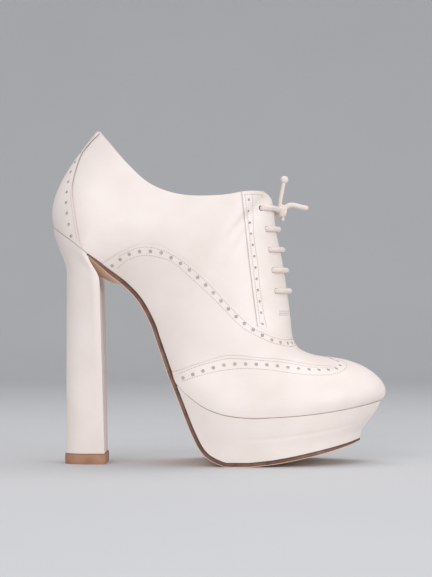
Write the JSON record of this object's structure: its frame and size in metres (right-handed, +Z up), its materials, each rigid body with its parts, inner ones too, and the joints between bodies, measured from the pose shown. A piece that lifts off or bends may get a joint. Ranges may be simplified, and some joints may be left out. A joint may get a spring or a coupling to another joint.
{
  "type": "pump shoe",
  "caption": "Right lace-up pump with a covered platform, a high block heel, a wing toe cap and perforated bands.",
  "frame": {"origin": "middle of the shoe's box, on the floor, measured without the free lace ends", "axes": "+X from heel to toe, +Y to the inner side of the foot, +Z up"},
  "size_m": [0.1962, 0.0822, 0.1945],
  "materials": {
    "upper_leather": "smooth, half gloss",
    "lining_leather": "matt",
    "sole_leather": "polished, with a burnished dark edge",
    "lift_rubber": "matt",
    "lace_cotton": "waxed round cord"
  },
  "bodies": {
    "root": {"upper": "upper_leather", "toe_cap": "upper_leather", "vamp": "upper_leather", "facing_outer": "upper_leather", "facing_inner": "upper_leather", "heel_counter": "upper_leather", "tongue": "upper_leather", "lace_bar_1": "lace_cotton", "lace_bar_2": "lace_cotton", "lace_bar_3": "lace_cotton", "lace_bar_4": "lace_cotton", "insole": "lining_leather", "outsole": "sole_leather", "platform": "upper_leather", "heel_block": "upper_leather", "top_lift": "lift_rubber", "lace_tie_outer": "lace_cotton", "lace_tie_inner": "lace_cotton", "lace_knot": "lace_cotton", "lace_end_up": "lace_cotton", "lace_end_ahead": "lace_cotton"}
  },
  "joints": []
}
